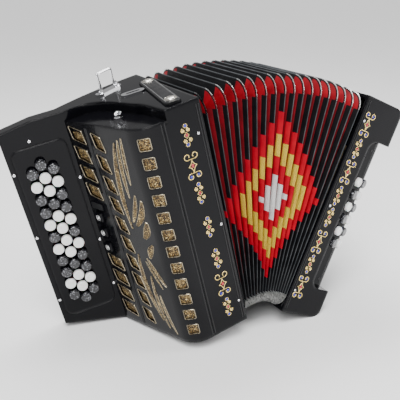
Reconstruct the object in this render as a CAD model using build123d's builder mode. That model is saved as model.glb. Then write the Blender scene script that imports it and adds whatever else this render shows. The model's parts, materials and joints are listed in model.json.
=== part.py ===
"""Three-row diatonic button accordion, fanned open and standing on the lower edges of its two ends.

Each end is modelled upright in its own frame: x runs from the treble end to the bass end and is 0 on the
face that carries the bellows, y is 0 on the front and grows towards the player, z is 0 on the lower face.
The treble end, the bellows and the bass end are then turned about the fan's centre and set on the floor.
"""

import os
from math import asin, atan2, cos, degrees, hypot, radians, sin

from build123d import *

# ---- Driving dimensions, in millimetres and degrees -------------------------------------------------
casing_height = 310
casing_depth = 170
wall = 5
floor_thickness = 6

# The bellows: its folds are packed tight along the lower edge, and fan out from there.
fold_count = 18
fold_depth = 20
closed_length = 53
fan_angle = 37.5
fan_centre_drop = 9.5
bellows_skin = 1.6
bellows_margin = 1
running_gap = 0.3

# The treble end in plan: a narrow front, a round corner, a flat side panel, then the fingerboard.
front_width = 50
corner_start = 56
corner_end = (-86.5, 22)
grille_thickness = 2.5
grille_top = 298
grille_bottom = 1

# The fingerboard: a thin slab turned outwards from the front, with three staggered rows of buttons.
fingerboard_turn = 12.2
fingerboard_origin = (-164, 136, 156)
fingerboard_outer = -38
fingerboard_inner = 43
fingerboard_thickness = 20
button_pitch = 18
row_spacing = 13.4
button_diameter = 14.2
button_height = 5
button_gap = 3.6
stem_diameter = 5
stem_hole = 8.6
key_travel = 3
heel_along = 30
heel_depth = 16
plate_thickness = 4
plate_middle = (3.5, 156.5)
plate_size = (69, 245)
plate_corner = 10

# The levers behind the fingerboard, on one steel axle, and the pallets that they lift.
lever_depth = 10.5
lever_thickness = 2
lever_width = 4
lane_offset = 4.5
axle_along = 66
axle_diameter = 4
axle_clearance = 0.05
boss_diameter = 9
axle_ends = (38, 274)
board_outer = -52
board_inner = -44
pallet_size = (4, 20, 12.5)
pallet_post = 8
pallet_gap = 0.3
tone_hole = (12, 7)
pallet_rows = {"outer": 96, "middle": 68, "inner": 40}

# Reed blocks on the inner side of the pallet board.
reed_block = (36, 18, 236)
reed_chamber = (30, 4, 14)
reed_chambers = 12

# Grille openings, measured along the side panel from the fingerboard and up from the floor.
near_column = 18
near_opening = (26, 17)
near_heights = (281, 255, 229, 204, 98, 73, 48, 23)
far_column = 55
far_opening = (19, 19)
far_count = 10
far_pitch = 28
opening_lowest = 23
opening_slant = 22
corner_opening = 14
corner_count = 12
corner_pitch = 23.4
corner_lowest = 21

# Register switches, pushed into the grille beside the fingerboard.
switch_column = 14
switch_heights = (167, 144.5, 122)
switch_size = (14, 12.5)
switch_proud = 4
switch_depth = 12
switch_travel = 3
switch_clearance = 0.5

# Hardware on the treble end's top.
bracket_centre = (-52, 142)
bracket_turn = 19
bracket_size = (40, 13, 2)
ear_spacing = 30
ear_height = 7.5
ear_above_hole = 3.5
ear_thickness = 2
loop_wire = 3
loop_size = (21, 22)
slot_plate_centre = (-38, 97)
slot_plate_size = (30, 13, 2)
strap_start = (-27, 8)
strap_end = (-7, 126)
strap_width = 20
strap_thickness = 3

# The bass end: a plain box with a slanted button board let into its front corner.
bass_width = 69
bass_edge_radius = 12
bass_board_corner = (33, 5)
bass_board_turn = 21.2
bass_board_heights = (41, 258)
bass_board_length = 34
bass_board_thickness = 3
bass_board_radius = 14
bass_columns = (11.5, 27.5)
bass_rows = 6
bass_first_height = 199
bass_button_diameter = 13
bass_button_gap = 3.4
bass_button_travel = 3
bass_stem_length = 14
cover_box = (30, 140, 24, 286)
cover_thickness = 3
bass_reed_block = (36, 22, 190)
bass_block_places = (56, 86, 116)

# The hand strap over the bass end, and the thumb's air button beside it.
hand_strap_ends = (34, 278)
hand_strap_rise = 34
hand_strap_thickness = 4
hand_strap_width = (80, 138)
hand_strap_tab = 22
air_button_place = (154, 252)
air_button_diameter = 16
air_button_proud = 9
air_button_depth = 16
air_button_gap = 0.4

# ---- Where the two ends and the folds stand ---------------------------------------------------------
# The fingerboard's face: x along the rows' spacing, y up, z out towards the player's fingers.
turn = radians(fingerboard_turn)
face_x = Vector(cos(turn), -sin(turn), 0)
face_out = Vector(-sin(turn), -cos(turn), 0)
face_origin = Vector(fingerboard_origin[0], fingerboard_origin[1], 0)
fingerboard_face = Plane(origin=face_origin, x_dir=face_x, z_dir=face_out)

panel_foot = face_origin + face_x * fingerboard_inner
heel = face_origin + face_x * heel_along - face_out * heel_depth

fan_centre_x = closed_length / 2


def fan_stage(share):
    """Move a section of the closed bellows to its place in the open fan, 0 at the treble, 1 at the bass."""
    from_centre = Pos(closed_length * share - fan_centre_x, 0, fan_centre_drop)
    return Pos(fan_centre_x, 0, -fan_centre_drop) * Rot(0, fan_angle * share, 0) * from_centre


def standing_lean():
    """The treble end's lean at which its sharp heel and the bass end's rounded edge touch the floor."""
    bass_edge = (fan_stage(1) * Pos(bass_width - bass_edge_radius, 0, bass_edge_radius)).position
    span = bass_edge - Vector(heel.X, 0, 0)
    return degrees(asin(bass_edge_radius / hypot(span.X, span.Z)) - atan2(span.Z, span.X))


lean = standing_lean()
treble_foot = (Rot(0, -lean, 0) * Pos(heel.X, 0, 0)).position
treble_stand = Pos(0, -casing_depth / 2, -treble_foot.Z) * Rot(0, -lean, 0)
bass_stand = treble_stand * fan_stage(1)

# The side panel's face: x from the fingerboard towards the front, y up, z outwards.
panel_run = (Vector(*corner_end) - panel_foot).normalized()
panel_face = Plane(origin=panel_foot, x_dir=panel_run, z_dir=panel_run.cross(Vector(0, 0, 1)))

# The round corner's face, square to the middle of its arc.
corner_point = Vector(-73.4, 7.4, 0)
corner_run = Vector(0.81, -0.586, 0)
corner_face = Plane(origin=corner_point, x_dir=corner_run, z_dir=corner_run.cross(Vector(0, 0, 1)))

# The bass button board's face: x outwards along the board, y up, z towards the fingers.
board_run = Vector(cos(radians(bass_board_turn)), sin(radians(bass_board_turn)), 0)
bass_face = Plane(
    origin=Vector(*bass_board_corner), x_dir=board_run, z_dir=board_run.cross(Vector(0, 0, 1))
)


def on_face(along, depth, height=0.0):
    """A point in the treble end's frame, given from the fingerboard's face."""
    return face_origin + face_x * along - face_out * depth + Vector(0, 0, height)


axle_place = on_face(axle_along, lever_depth)
pieces = {}


def keep(piece, name, stand):
    """Stand a finished piece where it belongs and keep it for export."""
    placed = stand * piece.part
    placed.label = name
    pieces[name] = placed

row_places = {"outer": -row_spacing, "middle": 0, "inner": row_spacing}
lanes = {"outer": lane_offset, "middle": 0, "inner": -lane_offset}


def key_places():
    """Every treble key as its row and its place on the face, row by row and from the top down."""
    places = []
    for row, count in (("outer", 11), ("middle", 12), ("inner", 11)):
        for step in range(count):
            height = fingerboard_origin[2] + button_pitch * ((count - 1) / 2 - step)
            places.append((row, (row_places[row], height)))
    return places


def slanted_opening(width, height):
    """A sound opening: a leaning four-sided cut whose sides follow the swept lines of the grille."""
    slant = opening_slant / 2 * height / 19
    lean_down = 2.5
    points = (
        (-width / 2, height / 2 + lean_down),
        (width / 2 - slant / 3, height / 2 - lean_down),
        (width / 2, -height / 2 - lean_down),
        (-width / 2 + slant / 3, -height / 2 + lean_down),
    )
    Polygon(*points, align=None)


# ---- Treble end ------------------------------------------------------------------------------------
def grille_wall():
    """The plan line of the grille: front edge, round corner and side panel."""
    front = Line((-front_width, 0), (-corner_start, 0))
    corner = TangentArc(front @ 1, corner_end, tangent=front % 1)
    Line(corner @ 1, panel_foot)


def top_edge():
    """The plan line of the top plate's edge, set back above the grille's shoulder."""
    Spline(panel_foot, (-93, 124), (-57, 62), (-44, 0), tangents=[face_x, Vector(0.1, -1)])


def treble_plan():
    """The treble end's outline without the fingerboard slab."""
    with BuildSketch() as plan:
        with BuildLine():
            Line((0, 0), (-front_width, 0))
            grille_wall()
            Line(panel_foot, heel)
            ThreePointArc(heel, (-70, 163), (0, casing_depth))
            Line((0, casing_depth), (0, 0))
        make_face()
    return plan.sketch


def shoulder_plan():
    """The strip between the grille's outer line and the set-back edge of the top plate."""
    with BuildSketch() as plan:
        with BuildLine():
            top_edge()
            Line((-44, 0), (-front_width, 0))
            grille_wall()
        make_face()
    return plan.sketch


def grille_side():
    """Everything in front of the fingerboard's joint and beyond the narrow front, in plan."""
    with BuildSketch() as plan:
        with BuildLine():
            far = panel_foot - face_x * 30
            near = panel_foot + face_x * 30
            Polyline(
                (-front_width, -10),
                (-160, -10),
                far,
                panel_foot,
                near,
                (-front_width, near.Y),
                close=True,
            )
        make_face()
    return plan.sketch


def skin_plan():
    """The grille's wall in plan, from the narrow front round to the fingerboard."""
    with BuildSketch() as core:
        add(treble_plan())
        offset(amount=-grille_thickness, kind=Kind.INTERSECTION)
    with BuildSketch() as plan:
        add(treble_plan())
        add(core.sketch, mode=Mode.SUBTRACT)
        add(grille_side(), mode=Mode.INTERSECT)
    return plan.sketch


with BuildPart() as treble_casing:
    with BuildSketch():
        add(treble_plan())
    extrude(amount=casing_height)
    # The fingerboard slab, rounded at its outer end, with a lower edge that rises outwards.
    with BuildSketch(fingerboard_face.offset(-fingerboard_thickness)):
        with BuildLine():
            Polyline(
                (fingerboard_inner, 2),
                (fingerboard_outer, 24),
                (fingerboard_outer, casing_height - 6),
                (4, casing_height),
                (fingerboard_inner, casing_height),
                close=True,
            )
        make_face()
    extrude(amount=fingerboard_thickness)
    # Room for the grille's skin and its flat top.
    with BuildSketch(Plane.XY.offset(grille_bottom)):
        add(skin_plan())
    extrude(amount=grille_top - grille_bottom, mode=Mode.SUBTRACT)
    with BuildSketch(Plane.XY.offset(grille_top - grille_thickness)):
        add(shoulder_plan())
    extrude(amount=casing_height, mode=Mode.SUBTRACT)
    # The chamber for levers and reeds, open towards the bellows and the grille.
    with BuildSketch(Plane.XY.offset(floor_thickness)):
        add(treble_plan())
        offset(amount=-wall, kind=Kind.INTERSECTION)
    extrude(amount=casing_height - 20 - floor_thickness, mode=Mode.SUBTRACT)
    with BuildSketch(Plane.YZ.offset(-2 * wall)):
        with Locations((casing_depth / 2, casing_height / 2)):
            Rectangle(casing_depth - 6 * wall, casing_height - 8 * wall)
    extrude(amount=3 * wall, mode=Mode.SUBTRACT)
    with BuildSketch(panel_face.offset(-3 * wall)):
        with Locations((62, casing_height / 2 - 6)):
            Rectangle(112, casing_height - 40)
    extrude(amount=4 * wall, mode=Mode.SUBTRACT)
    # The fingerboard's pocket behind its plate, running through to the chamber.
    with BuildSketch(fingerboard_face.offset(-fingerboard_thickness + 3)):
        with Locations(((fingerboard_outer + 5 + 58) / 2, (46 + 268) / 2)):
            Rectangle(58 - fingerboard_outer - 5, 268 - 46)
    extrude(amount=fingerboard_thickness - 3 - plate_thickness, mode=Mode.SUBTRACT)
    with BuildSketch(fingerboard_face.offset(-plate_thickness)):
        with Locations(plate_middle):
            RectangleRounded(*plate_size, plate_corner)
    extrude(amount=plate_thickness, mode=Mode.SUBTRACT)
keep(treble_casing, "treble_casing", treble_stand)


with BuildPart() as fingerboard_plate:
    with BuildSketch(fingerboard_face.offset(-plate_thickness)):
        with Locations(plate_middle):
            RectangleRounded(*plate_size, plate_corner)
        with Locations([place for row, place in key_places()]):
            Circle(stem_hole / 2, mode=Mode.SUBTRACT)
    extrude(amount=plate_thickness)
keep(fingerboard_plate, "fingerboard_plate", treble_stand)

with BuildPart() as treble_grille:
    with BuildSketch(Plane.XY.offset(grille_bottom)):
        add(skin_plan())
    extrude(amount=grille_top - grille_bottom)
    with BuildSketch(Plane.XY.offset(grille_top - grille_thickness)):
        add(shoulder_plan())
    extrude(amount=grille_thickness)
    # Sound openings in three columns and the slots of the register switches.
    with BuildSketch(panel_face.offset(-2 * grille_thickness)):
        for height in near_heights:
            with Locations((near_column, height)):
                slanted_opening(*near_opening)
        for step in range(far_count):
            with Locations((far_column, opening_lowest + far_pitch * step)):
                slanted_opening(*far_opening)
        with Locations([(switch_column, height) for height in switch_heights]):
            Rectangle(switch_size[0] + 2 * switch_clearance, switch_size[1] + 2 * switch_clearance)
    extrude(amount=3 * grille_thickness, mode=Mode.SUBTRACT)
    with BuildSketch(corner_face.offset(-12)):
        for step in range(corner_count):
            with Locations((0, corner_lowest + corner_pitch * step)):
                Rectangle(corner_opening, corner_opening)
    extrude(amount=24, mode=Mode.SUBTRACT)
keep(treble_grille, "treble_grille", treble_stand)

for number, height in enumerate(switch_heights, 1):
    with BuildPart() as register_switch:
        with BuildSketch(panel_face.offset(switch_proud)):
            with Locations((switch_column, height)):
                RectangleRounded(*switch_size, 2)
        extrude(amount=-switch_depth - switch_proud)
        front = register_switch.faces().sort_by(Axis(panel_face.origin, panel_face.z_dir))[-1]
        fillet(front.edges(), 1.5)
    keep(register_switch, f"register_switch_{number}", treble_stand)

with BuildPart() as treble_pallet_board:
    with BuildSketch(Plane.YZ.offset(board_outer)):
        with Locations(((wall + 157) / 2, casing_height / 2 - 7)):
            Rectangle(157 - wall, casing_height - 26)
        for row, (_, height) in key_places():
            with Locations((pallet_rows[row], height + lanes[row])):
                Rectangle(*tone_hole, mode=Mode.SUBTRACT)
    extrude(amount=board_inner - board_outer)
    # Two bearers that hold the levers' axle.
    for height in axle_ends:
        with BuildSketch(Plane.XY.offset(height - 3)):
            with BuildLine():
                Polyline(
                    (board_outer, axle_place.Y - 22),
                    (axle_place.X - 4, axle_place.Y - 6),
                    (axle_place.X - 4, axle_place.Y + 6),
                    (board_outer, axle_place.Y + 14),
                    close=True,
                )
            make_face()
            with Locations((axle_place.X, axle_place.Y)):
                Circle(axle_diameter / 2, mode=Mode.SUBTRACT)
        extrude(amount=6)
keep(treble_pallet_board, "treble_pallet_board", treble_stand)

with BuildPart() as key_axle:
    with BuildSketch(Plane.XY.offset(axle_ends[0] - 3)):
        with Locations((axle_place.X, axle_place.Y)):
            Circle(axle_diameter / 2)
    extrude(amount=axle_ends[1] - axle_ends[0] + 6)
keep(key_axle, "key_axle", treble_stand)

with BuildPart() as treble_reed_blocks:
    for place in pallet_rows.values():
        with Locations((board_inner + reed_block[0] / 2, place, fingerboard_origin[2])):
            Box(*reed_block)
    pitch = reed_block[2] / reed_chambers
    for place in pallet_rows.values():
        for step in range(reed_chambers):
            height = fingerboard_origin[2] + (step - (reed_chambers - 1) / 2) * pitch
            for side in (-1, 1):
                with Locations((board_inner + reed_block[0] / 2, place + side * reed_block[1] / 2, height)):
                    Box(reed_chamber[0], 2 * reed_chamber[1], reed_chamber[2], mode=Mode.SUBTRACT)
keep(treble_reed_blocks, "treble_reed_blocks", treble_stand)

# A key is one rigid lever: button, stem, arm over the axle, arm to the pallet, and the pallet.
for number, (row, (along, height)) in enumerate(key_places(), 1):
    lane = height + lanes[row]
    stem_foot = on_face(along, lever_depth)
    pallet_y = pallet_rows[row]
    with BuildPart() as treble_key:
        with BuildSketch(fingerboard_face.offset(button_gap)):
            with Locations((along, height)):
                Circle(button_diameter / 2)
        extrude(amount=button_height)
        fillet(treble_key.edges().sort_by(Axis(face_origin, face_out))[-1], 2)
        with BuildSketch(fingerboard_face.offset(-lever_depth)):
            with Locations((along, height)):
                Circle(stem_diameter / 2)
        extrude(amount=lever_depth + button_gap)
        # A foot joins the stem to its lever, which runs in a lane of its own beside the stems.
        with BuildSketch(fingerboard_face.offset(-lever_depth - lever_width / 2)):
            with Locations((along, (height + lane) / 2)):
                Rectangle(stem_diameter, abs(lane - height) + lever_thickness)
        extrude(amount=lever_width)
        with BuildSketch(Plane.XY.offset(lane - lever_thickness / 2)):
            with BuildLine():
                arm = Polyline(
                    (stem_foot.X, stem_foot.Y),
                    (axle_place.X, axle_place.Y),
                    (board_outer - pallet_post, pallet_y),
                    (board_outer - pallet_gap - 1, pallet_y),
                )
            trace(arm, line_width=lever_width)
            with Locations((axle_place.X, axle_place.Y)):
                Circle(boss_diameter / 2)
                Circle(axle_diameter / 2 + axle_clearance, mode=Mode.SUBTRACT)
        extrude(amount=lever_thickness)
        with Locations((board_outer - pallet_gap - pallet_size[0] / 2, pallet_y, lane)):
            Box(*pallet_size)
    keep(treble_key, f"treble_key_{number:02d}", treble_stand)

# ---- Hardware on the treble end's top ---------------------------------------------------------------
bracket_plane = Plane(
    origin=(bracket_centre[0], bracket_centre[1], casing_height),
    x_dir=(cos(radians(bracket_turn)), sin(radians(bracket_turn)), 0),
    z_dir=(0, 0, 1),
)
bracket_upright = Plane(
    origin=bracket_plane.origin, x_dir=bracket_plane.x_dir, z_dir=bracket_plane.x_dir.cross(Vector(0, 0, 1))
)
bracket_side = Plane(bracket_plane.origin, x_dir=-bracket_upright.z_dir, z_dir=bracket_upright.x_dir)
with BuildPart() as strap_bracket:
    with BuildSketch(bracket_plane):
        SlotOverall(bracket_size[0], bracket_size[1])
    extrude(amount=bracket_size[2])
    # Two ears with a cross hole for the loop's ends.
    with BuildSketch(bracket_side):
        with BuildLine():
            Polyline(
                (-4, 0),
                (4, 0),
                (4, ear_height - 3),
                (0, ear_height + 1),
                (-4, ear_height - 3),
                close=True,
            )
        make_face()
        with Locations((0, ear_height - ear_above_hole)):
            Circle(loop_wire / 2 + axle_clearance, mode=Mode.SUBTRACT)
    extrude(amount=ear_spacing / 2, both=True)
    with BuildSketch(bracket_side):
        with Locations((0, bracket_size[2] + 10)):
            Rectangle(20, 20)
    extrude(amount=ear_spacing / 2 - ear_thickness, both=True, mode=Mode.SUBTRACT)
keep(strap_bracket, "strap_bracket", treble_stand)

with BuildPart() as strap_loop:
    loop_foot = ear_height - ear_above_hole
    half_width = loop_size[0] / 2
    with BuildLine(bracket_upright) as loop_path:
        FilletPolyline(
            (-ear_spacing / 2 - 0.5, loop_foot),
            (-half_width, loop_foot),
            (-half_width - 1, loop_foot + loop_size[1]),
            (half_width + 1, loop_foot + loop_size[1]),
            (half_width, loop_foot),
            (ear_spacing / 2 + 0.5, loop_foot),
            radius=2.2,
        )
    with BuildSketch(Plane(loop_path.line @ 0, z_dir=loop_path.line % 0)):
        Circle(loop_wire / 2)
    sweep(path=loop_path.line)
keep(strap_loop, "strap_loop", treble_stand)

with BuildPart() as slot_plate:
    with BuildSketch(Plane.XY.offset(casing_height)):
        with Locations(Location((slot_plate_centre[0], slot_plate_centre[1], 0), (0, 0, -8))):
            SlotOverall(slot_plate_size[0], slot_plate_size[1])
            SlotOverall(slot_plate_size[0] - 12, 4, mode=Mode.SUBTRACT)
    extrude(amount=slot_plate_size[2])
keep(slot_plate, "slot_plate", treble_stand)

strap_run = Vector(strap_end[0] - strap_start[0], strap_end[1] - strap_start[1], 0)
with BuildPart() as bellows_strap:
    with BuildSketch(
        Plane(origin=(strap_start[0], strap_start[1], casing_height), x_dir=strap_run, z_dir=(0, 0, 1))
    ):
        with Locations((strap_run.length / 2, 0)):
            RectangleRounded(strap_run.length, strap_width, 5)
    extrude(amount=strap_thickness)
keep(bellows_strap, "bellows_strap", treble_stand)


# ---- Bellows ---------------------------------------------------------------------------------------
def bellows_section(share, inset):
    """A rectangle across the bellows, square to its local run."""
    stand = fan_stage(share)
    plane = Plane(stand * Location(Plane.YZ.location))
    with BuildSketch(plane) as section:
        with Locations((casing_depth / 2, casing_height / 2)):
            Rectangle(
                casing_depth - 2 * (bellows_margin + inset), casing_height - 2 * (bellows_margin + inset)
            )
    return section.sketch


def folded_tube(inset):
    """A closed solid through every ridge and valley of the folds, drawn in by inset."""
    steps = 2 * fold_count
    last = 1 - running_gap / closed_length
    with BuildPart() as tube:
        for step in range(steps + 1):
            valley = fold_depth if step % 2 == 0 else 0
            add(bellows_section(last * step / steps, valley + inset))
        loft(ruled=True)
    return tube.part


with BuildPart() as bellows:
    add(folded_tube(0))
    add(folded_tube(bellows_skin), mode=Mode.SUBTRACT)
keep(bellows, "bellows", treble_stand)


# ---- Bass end --------------------------------------------------------------------------------------
def board_outline(length):
    """The button board's face, square at the casing's outer side and round at the inner corners."""
    low, high = bass_board_heights
    radius = bass_board_radius
    with BuildSketch() as outline:
        with BuildLine():
            Line((length, low), (radius, low))
            JernArc((radius, low), (-1, 0), radius, -90)
            Line((0, low + radius), (0, high - radius))
            JernArc((0, high - radius), (0, 1), radius, -90)
            Line((radius, high), (length, high))
            Line((length, high), (length, low))
        make_face()
    return outline.sketch


with BuildPart() as bass_casing:
    with BuildSketch():
        with Locations((bass_width / 2, casing_depth / 2)):
            Rectangle(bass_width, casing_depth)
    extrude(amount=casing_height)
    outer_edges = bass_casing.edges().filter_by(Axis.Y).group_by(Axis.X)[-1]
    fillet(outer_edges, bass_edge_radius)
    with BuildSketch(bass_face):
        add(board_outline(2 * bass_width))
    extrude(amount=bass_width, mode=Mode.SUBTRACT)
    with BuildSketch(bass_face):
        add(board_outline(bass_board_length))
    extrude(amount=-bass_board_thickness, mode=Mode.SUBTRACT)
    with BuildSketch(bass_face.offset(-bass_board_thickness)):
        with Locations((sum(bass_columns) / 2, bass_first_height - button_pitch * (bass_rows - 1) / 2)):
            Rectangle(bass_board_length - 8, button_pitch * bass_rows + 6)
    extrude(amount=-3 * wall, mode=Mode.SUBTRACT)
    # The reed chamber, open towards the bellows and closed by the end cover.
    with BuildSketch(Plane.XY.offset(floor_thickness)):
        with BuildLine():
            Polyline(
                (-1, wall),
                (bass_board_corner[0] - 4, wall),
                (bass_board_corner[0] - 3, wall + 8),
                (bass_width - wall, wall + 21),
                (bass_width - wall, casing_depth - wall),
                (-1, casing_depth - wall),
                close=True,
            )
        make_face()
    extrude(amount=casing_height - 2 * floor_thickness, mode=Mode.SUBTRACT)
    with BuildSketch(Plane.YZ.offset(bass_width - cover_thickness)):
        with Locations(((cover_box[0] + cover_box[1]) / 2, (cover_box[2] + cover_box[3]) / 2)):
            RectangleRounded(cover_box[1] - cover_box[0], cover_box[3] - cover_box[2], 8)
    extrude(amount=cover_thickness, mode=Mode.SUBTRACT)
    with BuildSketch(Plane.YZ.offset(bass_width - 2 * wall)):
        with Locations(((cover_box[0] + cover_box[1]) / 2, (cover_box[2] + cover_box[3]) / 2)):
            RectangleRounded(cover_box[1] - cover_box[0] - 12, cover_box[3] - cover_box[2] - 12, 6)
    extrude(amount=2 * wall, mode=Mode.SUBTRACT)
    with Locations(Location((bass_width - wall, air_button_place[0], air_button_place[1]), (0, 90, 0))):
        Cylinder(air_button_diameter / 2 + air_button_gap, 4 * wall, mode=Mode.SUBTRACT)
keep(bass_casing, "bass_casing", bass_stand)

bass_places = [
    (column, bass_first_height - button_pitch * row) for row in range(bass_rows) for column in bass_columns
]
with BuildPart() as bass_button_board:
    with BuildSketch(bass_face):
        add(board_outline(bass_board_length))
        with Locations(bass_places):
            Circle(stem_hole / 2, mode=Mode.SUBTRACT)
    extrude(amount=-bass_board_thickness)
keep(bass_button_board, "bass_button_board", bass_stand)

# The bass and chord buttons of one row, side by side.
for row in range(bass_rows):
    height = bass_first_height - button_pitch * row
    with BuildPart() as bass_buttons:
        with BuildSketch(bass_face.offset(bass_button_gap)):
            with Locations([(column, height) for column in bass_columns]):
                Circle(bass_button_diameter / 2)
        extrude(amount=button_height)
        fillet(bass_buttons.edges().group_by(Axis(bass_face.origin, bass_face.z_dir))[-1], 2)
        with BuildSketch(bass_face.offset(bass_button_gap)):
            with Locations([(column, height) for column in bass_columns]):
                Circle(stem_diameter / 2)
        extrude(amount=-bass_stem_length)
    keep(bass_buttons, f"bass_buttons_{row + 1}", bass_stand)

with BuildPart() as bass_end_cover:
    with BuildSketch(Plane.YZ.offset(bass_width - cover_thickness)):
        with Locations(((cover_box[0] + cover_box[1]) / 2, (cover_box[2] + cover_box[3]) / 2)):
            RectangleRounded(cover_box[1] - cover_box[0], cover_box[3] - cover_box[2], 8)
    extrude(amount=cover_thickness)
keep(bass_end_cover, "bass_end_cover", bass_stand)

with BuildPart() as bass_reed_blocks:
    middle = casing_height / 2 - 10
    for place in bass_block_places:
        with Locations((bass_width - cover_thickness - bass_reed_block[0] / 2, place, middle)):
            Box(*bass_reed_block)
    for place in bass_block_places:
        for step in range(8):
            for side in (-1, 1):
                height = middle + (step - 3.5) * 23
                with Locations(
                    (bass_width - 24, place + side * bass_reed_block[1] / 2, height)
                ):
                    Box(24, 10, 16, mode=Mode.SUBTRACT)
keep(bass_reed_blocks, "bass_reed_blocks", bass_stand)

with BuildPart() as hand_strap:
    low, high = hand_strap_ends
    inner_x = bass_width + hand_strap_thickness / 2
    with BuildSketch(Plane.XZ.offset(-hand_strap_width[0])):
        with BuildLine():
            Line((inner_x, low), (inner_x, low + hand_strap_tab))
            bow = ThreePointArc(
                (inner_x, low + hand_strap_tab),
                (inner_x + hand_strap_rise - hand_strap_thickness, (low + high) / 2),
                (inner_x, high - hand_strap_tab),
            )
            top_tab = Line((inner_x, high - hand_strap_tab), (inner_x, high))
        trace(line_width=hand_strap_thickness)
    extrude(amount=hand_strap_width[0] - hand_strap_width[1])
keep(hand_strap, "hand_strap", bass_stand)

with BuildPart() as air_button:
    with BuildSketch(Plane.YZ.offset(bass_width + air_button_proud)):
        with Locations(air_button_place):
            Circle(air_button_diameter / 2)
    extrude(amount=-air_button_proud - air_button_depth)
    fillet(air_button.edges().group_by(Axis.X)[-1], 3)
keep(air_button, "air_button", bass_stand)


# ---- Set the origin under the middle of the whole object and write every piece ----------------------
whole = Compound(list(pieces.values())).bounding_box()
centring = Pos(-(whole.min.X + whole.max.X) / 2, -(whole.min.Y + whole.max.Y) / 2, -whole.min.Z)
os.makedirs("parts", exist_ok=True)
for name, piece in pieces.items():
    placed = centring * piece
    placed.label = name
    export_step(placed, f"parts/{name}.step")
print("lean", round(lean, 3), "centring", centring.position, "size", whole.size)
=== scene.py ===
import json
from math import cos, pi, radians, sin, sqrt, tau

import bmesh
import bpy
from mathutils import Matrix, Vector


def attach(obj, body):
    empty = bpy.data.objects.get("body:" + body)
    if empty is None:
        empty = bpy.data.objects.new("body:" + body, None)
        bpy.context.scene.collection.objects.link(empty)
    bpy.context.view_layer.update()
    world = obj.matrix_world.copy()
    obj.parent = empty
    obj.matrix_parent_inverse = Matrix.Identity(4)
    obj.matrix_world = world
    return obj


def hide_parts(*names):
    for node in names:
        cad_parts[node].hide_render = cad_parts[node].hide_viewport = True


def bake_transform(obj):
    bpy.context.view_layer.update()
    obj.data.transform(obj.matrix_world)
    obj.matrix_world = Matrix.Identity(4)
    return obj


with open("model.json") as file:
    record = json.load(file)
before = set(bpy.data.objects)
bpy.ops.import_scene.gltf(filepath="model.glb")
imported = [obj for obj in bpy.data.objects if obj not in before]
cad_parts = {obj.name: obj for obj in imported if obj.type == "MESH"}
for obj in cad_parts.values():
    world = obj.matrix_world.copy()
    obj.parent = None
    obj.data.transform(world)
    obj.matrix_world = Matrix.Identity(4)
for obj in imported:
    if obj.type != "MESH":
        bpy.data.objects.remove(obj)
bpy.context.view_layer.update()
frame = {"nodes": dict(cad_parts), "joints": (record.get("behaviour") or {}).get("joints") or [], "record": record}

# ---- Sizes, in the accordion's own millimetres and degrees -------------------------------------------
MM = 0.001
DEPTH = 170
HEIGHT = 310
FRONT_WIDTH = 50
BASS_WIDTH = 69
FOLDS = 18
FOLD_MARGIN = 1
FOLD_CORNER = 22
CLOSED_LENGTH = 53
FAN_DROP = 9.5
FAN_CENTRE = CLOSED_LENGTH / 2

FINGERBOARD_TURN = radians(12.2)
FACE_X = Vector((cos(FINGERBOARD_TURN), -sin(FINGERBOARD_TURN), 0))
FACE_OUT = Vector((-sin(FINGERBOARD_TURN), -cos(FINGERBOARD_TURN), 0))
FACE_ORIGIN = Vector((-164, 136, 0))
PANEL_FOOT = FACE_ORIGIN + FACE_X * 43
PANEL_END = Vector((-86.5, 22, 0))
PANEL_RUN = (PANEL_END - PANEL_FOOT).normalized()
PANEL_OUT = PANEL_RUN.cross(Vector((0, 0, 1)))
CORNER_CENTRE = Vector((-56, 32.1, 0))
CORNER_RADIUS = 32.1
CORNER_RUN = Vector((0.81, -0.586, 0))
CORNER_OUT = CORNER_RUN.cross(Vector((0, 0, 1)))
CORNER_ORIGIN = Vector((-73.4, 7.4, 0))
BOARD_TURN = radians(21.2)
BOARD_RUN = Vector((cos(BOARD_TURN), sin(BOARD_TURN), 0))
BOARD_OUT = BOARD_RUN.cross(Vector((0, 0, 1)))
BOARD_ORIGIN = Vector((33, 5, 0))
SWITCH_HEIGHTS = (167, 144.5, 122)

# ---- Where the two ends stand ------------------------------------------------------------------------
mounts = {mount["name"]: mount for mount in frame["record"]["mounts"]}
fan = next(joint for joint in frame["joints"] if joint["name"] == "bellows_fan")
FAN_ANGLE = -fan["range_deg"][0]


def end_matrix(mount, side):
    """From an end's own millimetres to the row frame; side is +1 at the treble and -1 at the bass."""
    up = -Vector(mounts[mount]["axis"])
    front_to_back = Vector((0, 1, 0))
    turn = Matrix((front_to_back.cross(up), front_to_back, up)).transposed()
    centre = turn @ Vector((side * FAN_CENTRE, DEPTH / 2, -FAN_DROP)) * MM
    return Matrix.Translation(Vector(fan["pos_m"]) - centre) @ turn.to_4x4() @ Matrix.Scale(MM, 4)


TREBLE = end_matrix("treble_rest_face", 1)
BASS = end_matrix("bass_rest_face", -1)


def fold_matrix(share):
    """Where a section of the bellows stands: share 0 is at the treble end and 1 at the bass end."""
    turn = Matrix.Rotation(radians(FAN_ANGLE * share), 4, "Y")
    from_centre = Matrix.Translation((CLOSED_LENGTH * share - FAN_CENTRE, 0, FAN_DROP))
    return TREBLE @ Matrix.Translation((FAN_CENTRE, 0, -FAN_DROP)) @ turn @ from_centre


def panel_point(along, height, proud):
    """A point on the grille's flat side, from the fingerboard towards the front."""
    return PANEL_FOOT + PANEL_RUN * along + PANEL_OUT * proud + Vector((0, 0, height))


def corner_point(along, height, proud):
    """A point on the grille's round corner, measured across the corner."""
    start = CORNER_ORIGIN + CORNER_RUN * along - CORNER_CENTRE
    reach = start.dot(CORNER_OUT)
    out = -reach + sqrt(reach * reach - start.length_squared + (CORNER_RADIUS + proud) ** 2)
    return CORNER_CENTRE + start + CORNER_OUT * out + Vector((0, 0, height))


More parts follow.
